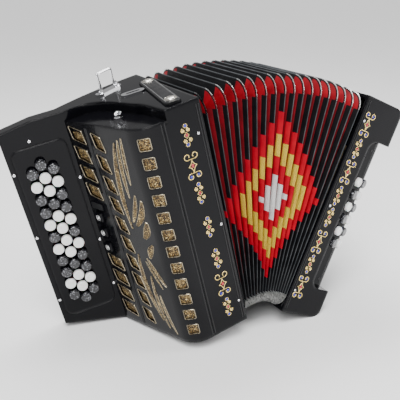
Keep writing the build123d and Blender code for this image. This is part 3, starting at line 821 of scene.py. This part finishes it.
class Scrolls:
    """The gold scrolls and the red and blue stones of one end's front."""

    def __init__(self, end, stand, body):
        self.end, self.stand, self.body = end, stand, body
        self.gold, self.red, self.blue = Pile(), Pile(), Pile()

    def wire(self, x, z, points, radius, closed_run=False):
        path = [front_point(x + a, z + h, 0.15) for a, h in points]
        self.gold.tube(path, radius, 7, closed_run)

    def large(self, x, z, all_blue):
        tip_reach = 8.5
        tips = ((0, tip_reach), (5.6, 0), (0, -tip_reach), (-5.6, 0))
        diamond_line = []
        for tip, after in zip(tips, tips[1:] + tips[:1]):
            diamond_line += bowed_side(tip, after, 0.35)
        self.wire(x, z, diamond_line, 0.6, True)
        for flip in (1, -1):
            for side in (1, -1):
                hub = (side * 4.9, flip * 12.6)
                bend = curl(hub, 4.3, -118 if side > 0 else 298, side * 330)
                mirrored = [(a, hub[1] + (h - hub[1]) * flip) for a, h in bend]
                self.wire(x, z, [(0, flip * tip_reach)] + mirrored, 0.62)
                if all_blue or flip < 0:
                    self.blue.dome(front_point, x + hub[0], z + hub[1], 1.9, 1.9, 0.9)
        self.red.dome(front_point, x, z, 2.0, 2.7, 1.3)

    def small(self, x, z):
        self.wire(x, z, [(3.2, 0), (0, 3.8), (-3.2, 0), (0, -3.8)], 0.5, True)
        for a, h in ((-3.5, 6.4), (3.3, 6.2), (3.5, -6.2), (-3.3, -6.4)):
            self.wire(x, z, curl((a, h), 2.5, 90 if h > 0 else -90, 340), 0.55)
            self.gold.dome(front_point, x + a, z + h, 1.5, 1.5, 0.6, 10)
        self.red.dome(front_point, x, z, 1.8, 2.2, 1.1)
        for flip in (1, -1):
            self.blue.dome(front_point, x + 0.6 * flip, z + 11.4 * flip, 2.0, 2.0, 0.9)
            self.wire(x, z, oval(0.6 * flip, 11.4 * flip, 2.5, 2.5, 14), 0.35, True)

    def finish(self):
        for pile, word, look in (
            (self.gold, "scrollwork", "gold"), (self.red, "red_stones", "ruby"),
            (self.blue, "blue_stones", "sapphire"),
        ):
            piece(f"{self.end}_{word}", self.stand, pile, look, self.body, crease=70)


treble_scrolls = Scrolls("treble", TREBLE, "treble_end")
for x, z, size in (
    (-25, 273, "small"), (-26, 235, "large"), (-25, 199, "small"), (-24, 152, "small"),
    (-23, 106, "small"), (-23, 68, "large"), (-23, 32, "small"),
):
    if size == "large":
        treble_scrolls.large(x, z, False)
    else:
        treble_scrolls.small(x, z)
treble_scrolls.finish()

bass_scrolls = Scrolls("bass", BASS, "bass_end")
for z, size in (
    (274, "large"), (240, "small"), (207, "large"), (173, "small"),
    (142, "small"), (106, "large"), (73, "small"), (39, "large"),
):
    if size == "large":
        bass_scrolls.large(15.5, z, True)
    else:
        bass_scrolls.small(15.5, z)
bass_scrolls.finish()

# ---- Pins, edge beads and the top's hardware -----------------------------------------------------------
for end, stand, body, spots, bead in (
    ("treble", TREBLE, "treble_end", ((-10, 270), (-7, 148), (-6, 33)), -2.6),
    ("bass", BASS, "bass_end", ((8, 277), (9, 157), (8, 33)), 2.6),
):
    pins = Pile()
    for along, height in spots:
        pins.dome(front_point, along, height, 1.9, 1.9, 1.1, 14)
        pins.dome(back_point, along, height, 1.9, 1.9, 1.1, 14)
    piece(f"{end}_bellows_pins", stand, pins, "chrome", body)
    beads = Pile()
    for shift in (0, bead * 1.2):
        beads.tube([Vector((bead + shift, -0.1, 6 + 298 * step / 10)) for step in range(11)], 0.7)
    piece(f"{end}_edge_beads", stand, beads, "satin", body)

STRAP_START, STRAP_END = Vector((-27, 8, 0)), Vector((-7, 126, 0))
STRAP_TOP = 3.2
strap_run = (STRAP_END - STRAP_START).normalized()
strap_side = Vector((-strap_run.y, strap_run.x, 0))


def strap_point(along, across, proud):
    return STRAP_START + strap_run * along + strap_side * across + Vector((0, 0, HEIGHT + proud))


strap_length = (STRAP_END - STRAP_START).length
leather_strap, stitches = Pile(), Pile()
sections = []
STRAP_STEPS = 24
for step in range(STRAP_STEPS + 1):
    t = step / STRAP_STEPS
    end_gap = min(t, 1 - t) * strap_length
    half = 10 if end_gap > 6 else 10 - 4 * (1 - end_gap / 6) ** 2
    rise = 0.7 * sin(pi * t)
    near_half = [(-half, 0.2), (-half, 2.2), (-half + 1.2, 3.0), (-half * 0.4, STRAP_TOP + rise)]
    crown = near_half + [(-across, level) for across, level in near_half[::-1]]
    sections.append([strap_point(t * strap_length, across, level) for across, level in crown])
leather_strap.rings(sections)
bellows_strap = piece("bellows_strap_leather", TREBLE, leather_strap, "leather", "treble_end")
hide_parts("bellows_strap")
for across in (-7.6, 7.6):
    for step in range(28):
        at = 7 + step * 3.8
        spots = ((at, 3.0), (at + 1.2, 3.45), (at + 2.4, 3.0))
        stitches.tube([strap_point(along, across, level) for along, level in spots], 0.32, 6)
piece("bellows_strap_stitching", TREBLE, stitches, "thread", "treble_end")
SNAP_RADIUS = 6.6
snap_tops = Pile()
on_strap = lifted(strap_point, STRAP_TOP)
for along in (13, strap_length - 13):
    snap_tops.dome(on_strap, along, 0, SNAP_RADIUS, SNAP_RADIUS, 2.6, 24)
    snap_tops.bezel(on_strap, oval(along, 0, SNAP_RADIUS, SNAP_RADIUS, 24), 1.0, 0.8)
piece("bellows_strap_snaps", TREBLE, snap_tops, "nickel", "treble_end")

thumbscrew = Pile()
for radius, low, high in ((5.2, -12.2, -9.6), (2.0, -9.6, -6.6)):
    thumbscrew.plate(top_point, oval(-76, 62, radius, radius, 24), low, high)
thumbscrew.tube([top_point(-80, 62, -5.2), top_point(-76, 62, -4.2), top_point(-72, 62, -5.2)], [1.4, 2.6, 1.4], 10)
piece("grille_thumbscrew", TREBLE, thumbscrew, "chrome", "treble_end")

# ---- Hand strap and the bass end's outside -----------------------------------------------------------
STRAP_LOW, STRAP_HIGH, STRAP_TAB, STRAP_RISE = 34, 278, 22, 30
STRAP_FRONT, STRAP_BACK = 80, 138
sag = STRAP_RISE - 0.5
HAND_STEPS = 48
bow_half = (STRAP_HIGH - STRAP_LOW) / 2 - STRAP_TAB
bow_radius = (bow_half ** 2 + sag ** 2) / (2 * sag)
strap_middle = (STRAP_HIGH + STRAP_LOW) / 2


def hand_strap_line(z):
    """The strap's middle line: flat tabs on the cover, and a round bow between them."""
    reach = z - strap_middle
    if abs(reach) >= bow_half:
        return BASS_WIDTH + 2
    return BASS_WIDTH + 2 + sqrt(bow_radius ** 2 - reach ** 2) - (bow_radius - sag)


hand_sections = []
for step in range(HAND_STEPS + 1):
    z = STRAP_LOW + (STRAP_HIGH - STRAP_LOW) * step / HAND_STEPS
    x = hand_strap_line(z)
    narrow = 6 * (1 - min(1, min(z - STRAP_LOW, STRAP_HIGH - z) / 26)) ** 2
    front, back = STRAP_FRONT + narrow, STRAP_BACK - narrow
    pad = 1.2 if abs(z - strap_middle) < bow_half - 6 else 0.3
    line = [
        (front, -1.6), (front, 1.0), (front + 5, 1.7), (front + 16, 1.7 + pad),
        (back - 16, 1.7 + pad), (back - 5, 1.7), (back, 1.0), (back, -1.6),
    ]
    hand_sections.append([Vector((x + level, y, z)) for y, level in line])
hand = Pile()
hand.rings(hand_sections)
hand_strap = piece("hand_strap_leather", BASS, hand, "leather", "bass_end")
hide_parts("hand_strap")
hand_stitches = Pile()
for y in (STRAP_FRONT + 9, STRAP_BACK - 9):
    for step in range(46):
        z = STRAP_LOW + 10 + step * 5
        spots = [(z, 1.5), (z + 1.5, 2.4), (z + 3, 1.5)]
        hand_stitches.tube([Vector((hand_strap_line(h) + level, y, h)) for h, level in spots], 0.35, 6)
piece("hand_strap_stitching", BASS, hand_stitches, "thread", "bass_end")
plates = Pile()
PLATE_LOW, PLATE_TOP = 4.0, 5.2
for height in (STRAP_LOW + STRAP_TAB / 2, STRAP_HIGH - STRAP_TAB / 2):
    corners = [(92, height - 8), (126, height - 8), (126, height + 8), (92, height + 8)]
    plates.plate(cover_point, rounded(corners, 4), PLATE_LOW, PLATE_TOP)
    for back in (98, 120):
        plates.dome(lifted(cover_point, PLATE_TOP), back, height, 2.4, 2.4, 1.0)
piece("hand_strap_plates", BASS, plates, "chrome", "bass_end")
cover_screws = Pile()
for back in (36, 134):
    for height in (30, 155, 280):
        cover_screws.dome(cover_point, back, height, 2.4, 2.4, 0.9)
piece("bass_cover_screws", BASS, cover_screws, "chrome", "bass_end")
board_screws = Pile()
for along, height in ((10, 246), (24, 246), (10, 53), (24, 53)):
    board_screws.dome(board_point, along, height, 1.6, 1.6, 0.7)
piece("bass_board_screws", BASS, board_screws, "satin", "bass_end")


# ---- Floor, light and camera ----------------------------------------------------------------------------
def emitter(name, place, target, size, power):
    data = bpy.data.lights.new(name, "AREA")
    data.shape = "RECTANGLE"
    data.size, data.size_y = size
    data.energy = power
    made = bpy.data.objects.new(name, data)
    made.location = place
    made.rotation_euler = (Vector(target) - Vector(place)).to_track_quat("-Z", "Y").to_euler()
    bpy.context.scene.collection.objects.link(made)


HALF_FLOOR = 14
floor_mesh = bpy.data.meshes.new("floor")
corners = [(HALF_FLOOR * x, HALF_FLOOR * y, 0) for x, y in ((-1, -1), (1, -1), (1, 1), (-1, 1))]
floor_mesh.from_pydata(corners, [], [(0, 1, 2, 3)])
pale, nodes, links, shader = new_material("pale_floor", (0.93, 0.93, 0.93), 0.7, specular=0.1)
roughness_detail(nodes, links, shader, 8, 0.62, 0.78)
floor_mesh.materials.append(pale)
floor = bpy.data.objects.new("floor", floor_mesh)
bpy.context.scene.collection.objects.link(floor)

world = bpy.data.worlds.new("studio")
bpy.context.scene.world = world
world.use_nodes = True
background = world.node_tree.nodes["Background"]
background.inputs["Color"].default_value = (1, 1, 1, 1)
background.inputs["Strength"].default_value = 0.42

middle = (0, 0, 0.16)
sun = bpy.data.lights.new("sky_panel", "SUN")
sun.energy = 2.6
sun.angle = radians(25)
sky = bpy.data.objects.new("sky_panel", sun)
sky.rotation_euler = (radians(24), radians(-16), 0)
bpy.context.scene.collection.objects.link(sky)
emitter("key_light", (-1.1, -1.3, 1.5), middle, (0.9, 0.9), 30)
emitter("side_light", (1.4, -0.9, 1.0), middle, (0.5, 1.2), 16)
emitter("top_light", (0.1, 0.5, 1.7), middle, (1.2, 0.5), 24)

# The view, a little from the treble side and above; the target is measured from the treble end's lower front
# corner at the bellows. It was fitted with that end leaning a little more than it stands, hence the tilt.
CAMERA_AZIMUTH = radians(29.2)
CAMERA_ELEVATION = radians(20.2)
CAMERA_DISTANCE = 920
CAMERA_TARGET = Vector((-13, 104, 135))
FITTED_LEAN = radians(13.59)
STANDING_LEAN = radians(13.2)
CAMERA_TILT = FITTED_LEAN - STANDING_LEAN
level_reach = cos(CAMERA_ELEVATION)
toward = Vector((-sin(CAMERA_AZIMUTH) * level_reach, -cos(CAMERA_AZIMUTH) * level_reach, sin(CAMERA_ELEVATION)))
camera_data = bpy.data.cameras.new("camera")
camera_data.lens = 60.6
camera_data.sensor_width = 36
camera_data.clip_start = 0.01
camera = bpy.data.objects.new("camera", camera_data)
bpy.context.scene.collection.objects.link(camera)
foot = TREBLE.translation
aim = (-toward).to_track_quat("-Z", "Y").to_matrix().to_4x4()
tilt = Matrix.Rotation(CAMERA_TILT, 4, "Y")
camera.matrix_world = (
    Matrix.Translation(foot) @ tilt @ Matrix.Translation((CAMERA_TARGET + toward * CAMERA_DISTANCE) * MM) @ aim
)
bpy.context.scene.camera = camera
